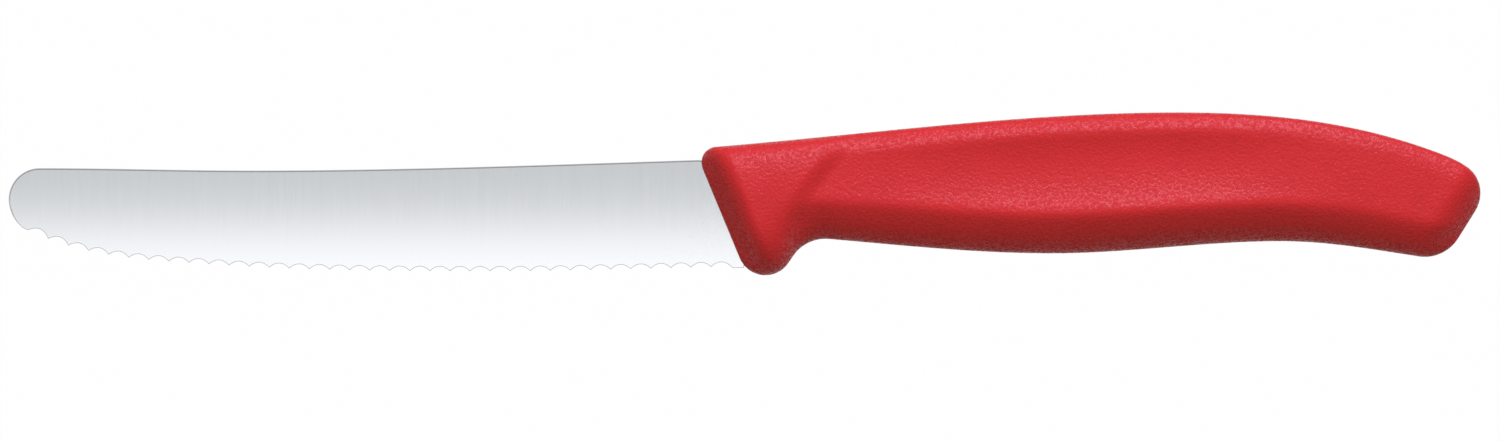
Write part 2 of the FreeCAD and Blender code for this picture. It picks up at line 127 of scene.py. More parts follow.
NECK_SCOOP_DEPTH = 0.1
BLOCK_RIM = 9.2
RIM = 2.4
RIM_FALL = 1.2
TAIL_RIM_FALL = 0.5
RIDGE_ROUND = 1.3
BLOCK_BELLY = 9.0
BELLY = 6.0
TAIL_BELLY = 5.6
NECK_AT = 20.0
WALL_AT = 13.5
WALL_LEVEL = -9.0
WALL_SWEEP_RISE = 10.0
WALL_SWEEP_BACK = 6.4
WALL_SWEEP_POWER = 1.3
WALL_WIDTH = 3.4
PALM_SHARE = 0.56
SCOOP_START_SHARE = 0.46
SCOOP_END_SHARE = 0.61
TAIL_SHARE = 0.84
BUTT_AT = 7.0
FACE_INSET = 0.02

# Roundness of the handle's flanks: powers at ridge and outer end of the upper, then of the lower flank
BLOCK_POWERS = (2.0, 6.5, 2.2, 1.6)
GRIP_POWERS = (16.0, 6.0, 1.1, 1.75)
FACE_POWER = 4.0  # of the front and rear faces
REAR_POWER = 1.8  # of the rear rounding
FLANK_FIT = 0.98  # most of a section's height that both flanks take
BEVEL_FIT = 0.9  # most of the front bevel that its rounded part takes
RIDGE_WEIGHTS = ((-0.8, 1), (-0.4, 2), (0, 3), (0.4, 2), (0.8, 1))  # shares of the rounding, weights

# Fine detail that only the visual model has
SKIN_INSET = 0.012  # skin of the handle, inside the outline
SKIN_SHARE = 0.999  # and of its thickness
EDGE_BREAK = 0.1  # broken corner along the wavy edge
BREAK_RUN = 2.5  # length over which the spine's rounding fades into it
ROUND_FLATNESS = 0.8  # height of these roundings to their width
PARTING_DEPTH = 0.05  # mould parting line round the handle
PARTING_WIDTH = 0.14

# Counts and tolerances of the meshes
ROUND_RIB_COUNT = 24
NECK_RIB_COUNT = 96
BODY_RIB_COUNT = 190
RIB_POINT_COUNT = 84
RIB_STEP_COUNT = 240
ROUND_RIB_SPACING = 1.3  # power that draws the ribs of the rear rounding towards the rear face
LONG_POINT_COUNT = 500  # handle's top and bottom
CORNER_POINT_COUNT = 70  # handle's front top and butt's low corner
WIDE_CORNER_POINT_COUNT = 90  # butt's top corner and guard
NECK_POINT_COUNT = 60
SPINE_POINT_COUNT = 90
TIP_TOP_POINT_COUNT = 44
TIP_LOW_POINT_COUNT = 30
TIP_PLAIN_POINT_COUNT = 4
WAVE_POINT_COUNT = 14
WAVE_END_POINT_COUNT = 6
HEEL_POINT_COUNT = 5
TANG_CORNER_POINT_COUNT = 16
KEY_HOLE_POINT_COUNT = 40
ROUND_TURNS = (0.0, 30.0, 60.0, 90.0)  # points across a rounded edge of the steel
ROUND_LAST = len(ROUND_TURNS) - 1  # its outermost point, in a chain from the front side to the back
CHAIN_LAST = 2 * len(ROUND_TURNS) - 1
HALVING_COUNT = 50  # steps of a search by halving
CROSSING_COUNT = 40  # and of the one for a crossing of two lines
SHARP_ANGLE = 38.0  # edges of the steel that stay sharp
SAME_POINT = 1e-9
MITRE_LIMIT = 0.35  # least divisor of a normal at a corner
WIDEST_TURN = 0.9  # radians, search range for a ruling of a wave
CUSP_REACH = 0.9  # search range along X for a cusp between two waves
END_REACH = 2.4  # and for the ends of the first and last wave, outwards
END_OVERLAP = 0.8  # and inwards
MERGE_DISTANCE = 1e-7  # metres
EMPTY_DISTANCE = 1e-8  # metres
UV_SCALE = 4  # side map, per metre


def unit(degrees):
    """Unit vector at an angle from +X in the side view."""
    return Vector((math.cos(math.radians(degrees)), math.sin(math.radians(degrees)), 0))


def slope(degrees):
    return math.tan(math.radians(degrees))


def flat(x, y, z=0.0):
    return Vector((x, y, z))


def arc_points(centre, radius, start, end, count):
    """Points on an arc between two angles in degrees, ends included."""
    return [centre + unit(start + (end - start) * k / count) * radius for k in range(count + 1)]


def cubic_at(points, x):
    """Height at x of a smooth curve through (x, y, slope) points, cubic between neighbours."""
    for (x0, y0, m0), (x1, y1, m1) in zip(points, points[1:]):
        if x <= x1 or (x1, y1, m1) == points[-1]:
            break
    span = x1 - x0
    t = (x - x0) / span
    return (y0 * (1 + 2 * t) * (1 - t) ** 2 + m0 * span * t * (1 - t) ** 2
            + y1 * t * t * (3 - 2 * t) + m1 * span * t * t * (t - 1))


def cubic_points(points, count):
    start, end = points[0][0], points[-1][0]
    places = [start + (end - start) * k / count for k in range(count + 1)]
    return [flat(x, cubic_at(points, x)) for x in places]


def through(stations, x):
    """Value at x of a smooth curve through (place, value) stations, level at its ends and turns."""
    places = [p for p, _ in stations]
    values = [v for _, v in stations]
    if x <= places[0]:
        return values[0]
    if x >= places[-1]:
        return values[-1]
    pairs = zip(stations, stations[1:])
    rises = [(v1 - v0) / (p1 - p0) for (p0, v0), (p1, v1) in pairs]
    slopes = [0.0]
    for before, after in zip(rises, rises[1:]):
        slopes.append(2 * before * after / (before + after) if before * after > 0 else 0.0)
    slopes.append(0.0)
    return cubic_at(list(zip(places, values, slopes)), x)


# Handle outline
FRONT_NORMAL = unit(180 + FRONT_SLANT)
REAR_NORMAL = unit(-REAR_SLANT)
GUARD_NORMAL = unit(GUARD_BACK - 90)
FRONT_CENTRE = flat(FRONT_RADIUS, -FRONT_DROP)
BUTT_CENTRE = flat(HANDLE_LENGTH - BUTT_RADIUS, -BUTT_DROP)


def touching(centre, radius, normal, other_radius, other_y, side=1):
    """Centre, at height other_y, of an arc that touches the same line as an arc already placed."""
    gap = radius - side * other_radius
    return flat(centre.x + (gap - (other_y - centre.y) * normal.y) / normal.x, other_y)


GUARD_CENTRE = touching(FRONT_CENTRE, FRONT_RADIUS, FRONT_NORMAL, GUARD_RADIUS,
                        GUARD_RADIUS - GUARD_DEPTH)
NECK_CENTRE = touching(GUARD_CENTRE, GUARD_RADIUS, GUARD_NORMAL, NECK_RADIUS,
                       -NECK_DEPTH - NECK_RADIUS, -1)
HEEL_CENTRE = touching(BUTT_CENTRE, BUTT_RADIUS, REAR_NORMAL, BUTT_HEEL_RADIUS,
                       BUTT_HEEL_RADIUS - BUTT_HEEL_DEPTH)


def front_x(y):
    """X of the handle's straight front line at a height."""
    point = FRONT_CENTRE + FRONT_NORMAL * FRONT_RADIUS
    return point.x - (y - point.y) * slope(FRONT_SLANT)


def rear_x(y):
    """X of the handle's straight rear line at a height."""
    point = BUTT_CENTRE + REAR_NORMAL * BUTT_RADIUS
    return point.x + (y - point.y) * slope(REAR_SLANT)


HEEL_X = front_x(-HEEL_DEPTH)
TIP_X = HEEL_X - BLADE_LENGTH


def handle_outline():
    """Closed row of points round the handle's side view."""
    top_start = FRONT_CENTRE + unit(90 + TOP_SLOPE) * FRONT_RADIUS
    top_end = BUTT_CENTRE + unit(90 - BUTT_TOP_SLOPE) * BUTT_RADIUS
    low_start = NECK_CENTRE + unit(90 - NECK_SLOPE) * NECK_RADIUS
    low_end = HEEL_CENTRE + unit(-90 - BUTT_HEEL_SLOPE) * BUTT_HEEL_RADIUS
    top = [(top_start.x, top_start.y, slope(TOP_SLOPE)),
           (HANDLE_LENGTH * CROWN_SHARE, CROWN_HEIGHT, 0),
           (HANDLE_LENGTH - BUTT_SHOULDER_AT, BUTT_SHOULDER_HEIGHT, -slope(BUTT_SHOULDER_SLOPE)),
           (top_end.x, top_end.y, -slope(BUTT_TOP_SLOPE))]
    low = [(low_start.x, low_start.y, -slope(NECK_SLOPE)),
           (HANDLE_LENGTH * BELLY_SHARE, -BELLY_DEPTH, 0),
           (HANDLE_LENGTH * HOLLOW_SHARE, -HOLLOW_DEPTH, 0),
           (low_end.x, low_end.y, -slope(BUTT_HEEL_SLOPE))]
    points = arc_points(FRONT_CENTRE, FRONT_RADIUS, 180 + FRONT_SLANT, 90 + TOP_SLOPE,
                        CORNER_POINT_COUNT)
    points += cubic_points(top, LONG_POINT_COUNT)[1:]
    points += arc_points(BUTT_CENTRE, BUTT_RADIUS, 90 - BUTT_TOP_SLOPE, -REAR_SLANT,
                         WIDE_CORNER_POINT_COUNT)[1:]
    points += arc_points(HEEL_CENTRE, BUTT_HEEL_RADIUS, -REAR_SLANT, -90 - BUTT_HEEL_SLOPE,
                         CORNER_POINT_COUNT)
    points += cubic_points(low, LONG_POINT_COUNT)[::-1][1:]
    points += arc_points(NECK_CENTRE, NECK_RADIUS, 90 - NECK_SLOPE, 90 + GUARD_BACK,
                         NECK_POINT_COUNT)[1:]
    points += arc_points(GUARD_CENTRE, GUARD_RADIUS, GUARD_BACK - 90, FRONT_SLANT - 180,
                         WIDE_CORNER_POINT_COUNT)
    return points


def chord(outline, middle, up):
    """Lowest and highest crossing of a line with the outline."""
    across = flat(up.y, -up.x)
    sides = [(p - middle).dot(across) for p in outline]
    hits = []
    for k in range(len(outline)):
        before, after = sides[k - 1], sides[k]
        if (before < 0) != (after < 0):
            share = before / (before - after)
            hits.append(outline[k - 1] + (outline[k] - outline[k - 1]) * share)
    hits.sort(key=lambda p: p.y)
    return hits[0], hits[-1]


def flank(share, power, end_power=2.0):
    """Relative thickness along a rounded flank, from 0 at its outer end to 1 at its ridge."""
    return max(0.0, 1 - abs(1 - share) ** power) ** (1 / end_power)


def side_profile(up, height, rim, belly, crest, ridge, powers, scoop, fall):
    """Half thickness at a distance up from the bottom outline."""
    rim_power, rim_end_power, belly_power, belly_end_power = powers
    fit = min(1.0, FLANK_FIT * height / (rim + belly))
    rim = rim * fit
    belly = belly * fit
    if up <= belly:
        return ridge * flank(up / belly, belly_power, belly_end_power)
    if up >= height - rim:
        left = (height - up) / rim
        return (crest - fall * (1 - left)) * flank(left, rim_power, rim_end_power)
    down = (height - rim - up) / (height - rim - belly)
    return crest + (ridge - crest) * down - scoop * 4 * down * (1 - down)


def bevel_share(place):
    """Share of the full thickness along the front bevel: straight, then rounded into the side."""
    rounded = min(FRONT_BEVEL_ROUND, BEVEL_FIT * FRONT_BEVEL)
    steepness = 1 / (FRONT_BEVEL - rounded / 2)
    left = FRONT_BEVEL - place
    if left >= rounded:
        return steepness * place
    return 1 - steepness * left * left / (2 * rounded)


def grip_share(x, y):
    """0 on the block behind the blade, 1 on the grip, with a curved wall between them."""
    rise = max(0.0, y - WALL_LEVEL) / WALL_SWEEP_RISE
    centre = WALL_AT + WALL_SWEEP_BACK * rise ** WALL_SWEEP_POWER
    lean = WALL_SWEEP_POWER * WALL_SWEEP_BACK / WALL_SWEEP_RISE * rise ** (WALL_SWEEP_POWER - 1)
    share = (x - centre) / math.sqrt(1 + lean * lean) / WALL_WIDTH + 0.5
    share = min(1.0, max(0.0, share))
    return share * share * (3 - 2 * share)


def handle_ribs():
    """Places along the handle at rib level, each with its shares of front and rear rounding."""
    level = -NECK_DEPTH / 2
    start = front_x(level) + FACE_INSET
    end = rear_x(level) - FACE_INSET
    shares = [k / ROUND_RIB_COUNT for k in range(ROUND_RIB_COUNT + 1)]
    turns = [math.pi / 2 * share ** ROUND_RIB_SPACING for share in shares]
    steps = [FRONT_BEVEL * share for share in shares]
    ribs = [(start + s, bevel_share(s), 1.0) for s in steps]
    front = start + FRONT_BEVEL
    rear = end - REAR_ROUND
    neck = NECK_AT + WALL_WIDTH
    for k in range(1, NECK_RIB_COUNT):
        ribs.append((front + (neck - front) * k / NECK_RIB_COUNT, 1.0, 1.0))
    for k in range(BODY_RIB_COUNT):
        ribs.append((neck + (rear - neck) * k / BODY_RIB_COUNT, 1.0, 1.0))
    for a in turns[::-1]:
        ribs.append((end - REAR_ROUND * (1 - math.cos(a)), 1.0, math.sin(a) ** REAR_POWER))
    return level, ribs, ribs[ROUND_RIB_COUNT][0], ribs[-1 - ROUND_RIB_COUNT][0]


def along(points, places):
    """Points at given distances along a fine row of points."""
    row = []
    passed = 0.0
    k = 0
    step = (points[1] - points[0]).length
    for place in places:
        while passed + step < place and k < len(points) - 2:
            passed += step
            k += 1
            step = (points[k + 1] - points[k]).length
        row.append(points[k].lerp(points[k + 1], min(1.0, (place - passed) / step)))
    return row


def handle_rows():
    """Rows of points over the handle's +Z side, each from the bottom outline to the top outline."""
    outline = handle_outline()
    level, ribs, front_end, rear_start = handle_ribs()
    leans = [(front_end, FRONT_SLANT), (2 * NECK_AT, 0), (HANDLE_LENGTH * HOLLOW_SHARE, 0),
             (rear_start, -REAR_SLANT)]
    palm = HANDLE_LENGTH * PALM_SHARE
    tail = HANDLE_LENGTH * TAIL_SHARE
    butt = HANDLE_LENGTH - BUTT_AT
    scoop_start = HANDLE_LENGTH * SCOOP_START_SHARE
    scoop_end = HANDLE_LENGTH * SCOOP_END_SHARE
    scoop_stations = [(NECK_AT, NECK_SCOOP_DEPTH), (scoop_start, SCOOP_DEPTH),
                      (scoop_end, SCOOP_DEPTH), (tail, 0)]
    tail_stations = [(tail, TAIL_THICKNESS), (butt, BUTT_THICKNESS)]
    half_block = BLOCK_THICKNESS / 2
    weight_sum = sum(weight for _, weight in RIDGE_WEIGHTS)
    rows = []
    for x, front, rear in ribs:
        up = unit(90 + through(leans, x))
        bottom, top = chord(outline, flat(x, level), up)
        bottom += up * SKIN_INSET
        height = (top - bottom).length - SKIN_INSET
        ridge = through([(NECK_AT, NECK_THICKNESS), (palm, PALM_THICKNESS)] + tail_stations, x) / 2
        crest = through([(NECK_AT, NECK_CREST), (palm, PALM_CREST)] + tail_stations, x) / 2
        scoop = through(scoop_stations, x)
        fall = through([(palm, RIM_FALL), (tail, TAIL_RIM_FALL)], x)
        belly = through([(palm, BELLY), (tail, TAIL_BELLY)], x)
        profile = []
        for k in range(RIB_STEP_COUNT + 1):
            rise = height * (1 - math.cos(math.pi * k / RIB_STEP_COUNT)) / 2
            point = bottom + up * rise
            share = grip_share(point.x, point.y)
            block = side_profile(rise, height, BLOCK_RIM, BLOCK_BELLY, half_block, half_block,
                                 BLOCK_POWERS, 0, 0)
            reach = min(RIDGE_ROUND, rise, height - rise)
            grip = 0.0
            for step, weight in RIDGE_WEIGHTS:
                near = side_profile(rise + reach * step, height, RIM, belly, crest, ridge,
                                    GRIP_POWERS, scoop, fall)
                grip += near * weight / weight_sum
            face = flank(min(rise, height - rise) / (height / 2), FACE_POWER, FACE_POWER)
            z = block + (grip - block) * share
            z = face * FRONT_FACE_THICKNESS / 2 * (1 - front) + z * front
            z = face * REAR_FACE_THICKNESS / 2 * (1 - rear) + z * rear
            profile.append(point + flat(0, 0, z * SKIN_SHARE))
        profile[0].z = 0
        profile[-1].z = 0
        total = sum((q - p).length for p, q in zip(profile, profile[1:]))
        near = [0.0, PARTING_WIDTH / 2, PARTING_WIDTH]
        left = total - 2 * PARTING_WIDTH
        inner = [PARTING_WIDTH + left * k / RIB_POINT_COUNT for k in range(1, RIB_POINT_COUNT)]
        row = along(profile, near + inner + [total - d for d in near[::-1]])
        for k, sink in ((0, 1.0), (1, 0.5)):
            row[k] += up * PARTING_DEPTH * sink
            row[-1 - k] -= up * PARTING_DEPTH * sink
        rows.append(row)
    return rows


HANDLE_ROWS = handle_rows()

# From the drawing, in millimetres, to the row frame, in metres
HALF_THICKNESS = max(p.z for row in HANDLE_ROWS for p in row) / SKIN_SHARE
MOVE = flat(-(TIP_X + HANDLE_LENGTH) / 2, (GUARD_DEPTH - CROWN_HEIGHT) / 2, HALF_THICKNESS)
METRES = 0.001


def to_row(point):
    return (point + MOVE) * METRES


def new_piece(name, bm, material, node):
    """Makes a mesh object of a bmesh, puts it under the root body and hides the CAD node that it
    stands in for.
    """
    mesh = bpy.data.meshes.new(name)
    bm.to_mesh(mesh)
    bm.free()
    piece = bpy.data.objects.new(name, mesh)
    bpy.context.scene.collection.objects.link(piece)
    mesh.materials.append(material)
    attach(piece, "root")
    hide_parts(node)
    return piece


def handle_mesh():
    """Closed skin of the handle."""
    bm = bmesh.new()
    loops = []
    for row in HANDLE_ROWS:
        upper = [bm.verts.new(to_row(p)) for p in row]
        under = [bm.verts.new(to_row(flat(p.x, p.y, -p.z))) for p in row[1:-1]]
        loops.append(upper + under[::-1])
    size = len(loops[0])
    for a, b in zip(loops, loops[1:]):
        for k in range(size):
            bm.faces.new((a[k], b[k], b[(k + 1) % size], a[(k + 1) % size]))
    bm.faces.new(loops[0])
    bm.faces.new(loops[-1][::-1])
    bmesh.ops.recalc_face_normals(bm, faces=bm.faces)
    for face in bm.faces:
        face.smooth = True
    return bm


# Blade
def spine_points():
    return [(TIP_X + TIP_TOP_RADIUS, -TIP_DROP, 0), (TIP_X * SPINE_DIP_SHARE, -SPINE_DIP, 0),
            (front_x(SPINE_RISE), SPINE_RISE, slope(SPINE_SLOPE))]


TIP_Y = -TIP_DROP - TIP_TOP_RADIUS
TOP_ARC = flat(TIP_X + TIP_TOP_RADIUS, TIP_Y)
LOW_ARC = flat(TIP_X + TIP_LOW_RADIUS, TIP_Y)
EDGE_START = TIP_X + TIP_PLAIN


def low_arc_y(x):
    return TIP_Y - math.sqrt(TIP_LOW_RADIUS ** 2 - (x - LOW_ARC.x) ** 2)


TIP_BACK = LOW_ARC.x - EDGE_START
TIP_TURNED = math.degrees(math.asin(TIP_BACK / TIP_LOW_RADIUS)) - TIP_EDGE_TURN
EDGE_POINTS = [(EDGE_START, low_arc_y(EDGE_START), -slope(TIP_TURNED)),
               (TIP_X * CURVE_SHARE, -CURVE_DEPTH, -slope(CURVE_SLOPE)),
               (TIP_X * EDGE_LOW_SHARE, -EDGE_DEPTH, 0), (HEEL_X, -HEEL_DEPTH, slope(HEEL_SLOPE))]
TIP_LINE = [(x, y + WAVE_TRIM, m) for x, y, m in EDGE_POINTS]
HALF_AT_ORIGIN = SPINE_THICKNESS / 2
HALF_RISE = (SPINE_THICKNESS - EDGE_THICKNESS) / 2 / EDGE_DEPTH


def half_blade(y):
    """Half thickness of the ground blade at a height."""
    return HALF_AT_ORIGIN + HALF_RISE * y


def low_line(x):
    """Lower outline before the waves are ground."""
    return low_arc_y(x) if x < EDGE_START else cubic_at(EDGE_POINTS, x)


class Wave:
    """One wave of the edge: an inclined cylinder, open on the back side."""

    def __init__(self, x0, x1):
        tilt = math.radians(WAVE_BEVEL)
        ratio = 2 * WAVE_DEPTH * math.sin(tilt) / WAVE_PITCH
        self.radius = WAVE_PITCH * (1 + ratio * ratio) / (4 * ratio)
        start = flat(x0, cubic_at(TIP_LINE, x0))
        stop = flat(x1, cubic_at(TIP_LINE, x1))
        self.along = (stop - start).normalized()
        inward = flat(-self.along.y, self.along.x)
        crest = (start + stop) * 0.5 + inward * WAVE_DEPTH
        crest.z = half_blade(crest.y)
        self.axis = inward * math.cos(tilt) - flat(0, 0, math.sin(tilt))
        self.into = inward * math.sin(tilt) + flat(0, 0, math.cos(tilt))
        self.centre = crest - self.into * self.radius

    def base(self, turn):
        return self.centre + (self.into * math.cos(turn) + self.along * math.sin(turn)) * self.radius

    def on_side(self, turn, side):
        """Point of a ruling on the blade's front (1) or back (-1) side."""
        p = self.base(turn)
        gap = side * half_blade(p.y) - p.z
        return p + self.axis * (gap / (self.axis.z - side * HALF_RISE * self.axis.y))

    def on_wall(self, turn):
        """Point of a ruling on the upright wall of the lower outline."""
        front = self.on_side(turn, 1)
        back = self.on_side(turn, -1)
        low, high = 0.0, 1.0
        for _ in range(HALVING_COUNT):
            middle = (low + high) / 2
            p = front.lerp(back, middle)
            if p.y < low_line(p.x):
                low = middle
            else:
                high = middle
        return front.lerp(back, high)

    def turn_at(self, x, side):
        """Turn of the ruling that meets a side at x."""
        low, high = -WIDEST_TURN, WIDEST_TURN
        for _ in range(HALVING_COUNT):
            middle = (low + high) / 2
            if self.on_side(middle, side).x < x:
                low = middle
            else:
                high = middle
        return (low + high) / 2

    def height_at(self, x, side):
        return self.on_side(self.turn_at(x, side), side).y


def crossing(first, second, low, high):
    """Place between low and high where two heights along X are equal."""
    sign = first(low) > second(low)
    for _ in range(CROSSING_COUNT):
        middle = (low + high) / 2
        if (first(middle) > second(middle)) == sign:
            low = middle
        else:
            high = middle
    return (low + high) / 2


def inward_normals(points):
    """Normals of a row of side-view points, to the left of its direction and mitred at corners."""
    normals = []
    for k in range(len(points)):
        before = points[k] - points[max(0, k - 1)]
        after = points[min(len(points) - 1, k + 1)] - points[k]
        before.z = after.z = 0
        a = before.normalized() if before.length > SAME_POINT else after.normalized()
        b = after.normalized() if after.length > SAME_POINT else a
        n = flat(-a.y - b.y, a.x + b.x)
        normals.append(n / max(MITRE_LIMIT, n.length / 2 * n.length))
    return normals


def edge_stations():
    """Stations along the wavy edge from tip to heel: (front point, wall end, back point)."""
    end = HEEL_X - HEEL_PLAIN
    count = int((end - EDGE_START) / WAVE_PITCH + 0.5)
    borders = [end - k * WAVE_PITCH for k in range(count, -1, -1)]
    waves = [Wave(x0, x1) for x0, x1 in zip(borders, borders[1:])]
    cuts = {}
    for side in (1, -1):
        row = [crossing(lambda x: waves[0].height_at(x, side), low_line,
                        borders[0] - END_REACH, borders[0] + END_OVERLAP)]
        for left, right, x in zip(waves, waves[1:], borders[1:]):
            row.append(crossing(lambda v: left.height_at(v, side), lambda v: right.height_at(v, side),
                                x - CUSP_REACH, x + CUSP_REACH))
        row.append(crossing(lambda x: waves[-1].height_at(x, side), low_line,
                            borders[-1] - END_OVERLAP, borders[-1] + END_REACH))
        cuts[side] = row
    stations = []
    first = waves[0]
    back_turn = first.turn_at(cuts[-1][0], -1)
    front_turn = first.turn_at(cuts[1][0], 1)
    for k in range(WAVE_END_POINT_COUNT):
        turn = back_turn + (front_turn - back_turn) * k / WAVE_END_POINT_COUNT
        wall = first.on_wall(turn)
        stations.append((flat(wall.x, wall.y), wall, first.on_side(turn, -1)))
    for n, wave in enumerate(waves):
        f0, f1 = wave.turn_at(cuts[1][n], 1), wave.turn_at(cuts[1][n + 1], 1)
        b0, b1 = wave.turn_at(cuts[-1][n], -1), wave.turn_at(cuts[-1][n + 1], -1)
        if n == 0:
            b0 = f0
        if n == len(waves) - 1:
            b1 = f1
        for k in range(WAVE_POINT_COUNT + 1):
            if k == 0 and n > 0:
                continue
            share = k / WAVE_POINT_COUNT
            point = wave.on_side(f0 + (f1 - f0) * share, 1)
            stations.append((flat(point.x, point.y), None, wave.on_side(b0 + (b1 - b0) * share, -1)))
    last = waves[-1]
    back_turn = last.turn_at(cuts[-1][-1], -1)
    front_turn = last.turn_at(cuts[1][-1], 1)
    for k in range(1, WAVE_END_POINT_COUNT + 1):
        turn = front_turn + (back_turn - front_turn) * k / WAVE_END_POINT_COUNT
        wall = last.on_wall(turn)
        stations.append((flat(wall.x, wall.y), wall, last.on_side(turn, -1)))
    return stations


# Painted shade on the rounded spine and nose: more where it faces up in the side view, less where down
RIM_PAINTED_SHADE = 0.16
RIM_PAINTED_SHADE_UP = 0.08
RIM_PAINTED_SHADE_DOWN = 0.5
RIM_PAINTED_SHADE_LEAST = 0.05
EDGE_PAINTED_SHADE = 0.1  # painted shade on the broken corner along the wavy edge


def blade_mesh():
    """Closed skin of the blade and its tang."""
    step_line = flat(slope(FRONT_SLANT), -1).normalized()
    front_top = flat(front_x(SPINE_RISE), SPINE_RISE)
    front_low = flat(HEEL_X, -HEEL_DEPTH)
    tang_low = TANG_TOP - TANG_HEIGHT
    top_in = flat(front_top.x + SHOULDER_LENGTH, TANG_TOP)
    low_in = flat(front_x(tang_low) + SHOULDER_LENGTH, tang_low)

    def on_step(a, b):
        """Where the line from a to b meets the inner end of the grind."""
        low, high = 0.0, 1.0
        for _ in range(HALVING_COUNT):
            middle = (low + high) / 2
            p = a.lerp(b, middle)
            if p.x < front_x(p.y) + GRIND_RUN_IN:
                low = middle
            else:
                high = middle
        return a.lerp(b, low)

    step_top = on_step(front_top, top_in)
    step_low = on_step(front_low, low_in)

    # Upper outline from inside the handle to the tip, then round the tip to the first wave
    waves = edge_stations()
    back = [step_top, step_top.lerp(front_top, 0.5)]
    back += cubic_points(spine_points(), SPINE_POINT_COUNT)[::-1]
    back += arc_points(TOP_ARC, TIP_TOP_RADIUS, 90, 180, TIP_TOP_POINT_COUNT)[1:]
    end_x = waves[0][0].x
    arc_end = min(end_x, EDGE_START)
    turn = math.degrees(math.atan2(low_arc_y(arc_end) - TIP_Y, arc_end - LOW_ARC.x)) % 360
    low_tip = arc_points(LOW_ARC, TIP_LOW_RADIUS, 180, turn, TIP_LOW_POINT_COUNT)[1:]
    if end_x < EDGE_START:
        back += low_tip[:-1]
    else:
        back += low_tip
        for k in range(1, TIP_PLAIN_POINT_COUNT):
            x = EDGE_START + (end_x - EDGE_START) * k / TIP_PLAIN_POINT_COUNT
            back.append(flat(x, low_line(x)))
    heel_start = waves[-1][0].x
    heel = []
    for k in range(1, HEEL_POINT_COUNT + 1):
        x = heel_start + (HEEL_X - heel_start) * k / HEEL_POINT_COUNT
        heel.append(flat(x, low_line(x)))
    heel += [front_low.lerp(step_low, 0.5), step_low]

    front_row = back + [s[0] for s in waves] + heel
    normals = inward_normals(front_row)
    normals[0] = step_line
    normals[-1] = -step_line
    run = [0.0]
    for p, q in zip(front_row, front_row[1:]):
        run.append(run[-1] + (q - p).length)
    tip_run = run[len(back) - 1]

    bm = bmesh.new()
    rim = bm.faces.layers.float.new("rim")
    uv = bm.loops.layers.uv.new("side")
    chains = []
    kinds = []
    for k, point in enumerate(front_row):
        fade = min(1.0, max(0.0, (tip_run - run[k]) / BREAK_RUN))
        radius = EDGE_BREAK + (SPINE_ROUND - EDGE_BREAK) * fade if k < len(back) else EDGE_BREAK
        under = SPINE_ROUND * fade if k < len(back) else 0.0
        n = normals[k]
        chain = []
        for a in ROUND_TURNS:
            p = point + n * radius * (1 - math.sin(math.radians(a)))
            p.z = half_blade(p.y) - radius * ROUND_FLATNESS * (1 - math.cos(math.radians(a)))
            chain.append(p)
        wave = waves[k - len(back)] if len(back) <= k < len(back) + len(waves) else None
        if wave is None:
            for a in ROUND_TURNS[::-1]:
                p = point + n * under * (1 - math.sin(math.radians(a)))
                p.z = -half_blade(p.y) + under * ROUND_FLATNESS * (1 - math.cos(math.radians(a)))
                chain.append(p)
            kinds.append("back" if k < len(back) else "heel")
        else:
            wall = wave[1] if wave[1] is not None else chain[ROUND_LAST]
            chain += [wall.copy() for _ in range(ROUND_LAST)] + [wave[2].copy()]
            kinds.append("wave")
        chains.append([bm.verts.new(to_row(p)) for p in chain])

    for k, (a, b) in enumerate(zip(chains, chains[1:])):
        for j in range(CHAIN_LAST):
            face = bm.faces.new((a[j], b[j], b[j + 1], a[j + 1]))
            face.smooth = True
            # painted shade: on the rounded spine and nose it deepens where they face up, on the broken
            # edge it is even
            if kinds[k] == "back":
                up = -normals[k].y
                rise = RIM_PAINTED_SHADE_UP if up >= 0 else RIM_PAINTED_SHADE_DOWN
                face[rim] = max(RIM_PAINTED_SHADE_LEAST, RIM_PAINTED_SHADE + rise * up)
            else:
                face[rim] = EDGE_PAINTED_SHADE if j < ROUND_LAST else 0.0

    def fill(loops):
        """Triangles over a flat region inside an outer loop and outside inner ones."""
        edges = []
        for loop in loops:
            for p, q in zip(loop, loop[1:] + loop[:1]):
                edges.append(bm.edges.get((p, q)) or bm.edges.new((p, q)))
        bmesh.ops.triangle_fill(bm, use_beauty=True, use_dissolve=False, edges=edges)

    fill([[c[0] for c in chains]])
    fill([[c[CHAIN_LAST] for c in chains]])

    # Tang
    r = TANG_END_RADIUS
    outline = [step_top, top_in]
    outline += arc_points(flat(TANG_LENGTH - r, TANG_TOP - r), r, 90, 0, TANG_CORNER_POINT_COUNT)
    outline += arc_points(flat(TANG_LENGTH - r, tang_low + r), r, 0, -90, TANG_CORNER_POINT_COUNT)
    outline += [low_in, step_low]
    holes = []
    for k in range(KEY_HOLE_COUNT):
        centre = flat(KEY_HOLE_FIRST + k * KEY_HOLE_SPACING, TANG_TOP - TANG_HEIGHT / 2)
        holes.append(arc_points(centre, KEY_HOLE_RADIUS, 0, 360, KEY_HOLE_POINT_COUNT)[:-1])
    sides = []
    for z in (STRIP_THICKNESS / 2, -STRIP_THICKNESS / 2):
        shift = flat(0, 0, z)
        loops = [[bm.verts.new(to_row(p + shift)) for p in loop] for loop in [outline] + holes]
        fill(loops)
        sides.append(loops)
    for n, (upper, under) in enumerate(zip(*sides)):
        pairs = list(zip(upper, under))
        following = pairs[1:] if n == 0 else pairs[1:] + pairs[:1]
        for (a, b), (c, d) in zip(pairs, following):
            bm.faces.new((a, c, d, b))
    top_up, top_under = sides[0][0][0], sides[1][0][0]
    low_up, low_under = sides[0][0][-1], sides[1][0][-1]
    first, last = chains[0], chains[-1]
    bm.faces.new((top_up, first[0], last[0], low_up))
    bm.faces.new((low_under, last[CHAIN_LAST], first[CHAIN_LAST], top_under))
    bm.faces.new([top_up, top_under] + first[::-1])
    bm.faces.new([low_under, low_up] + last)

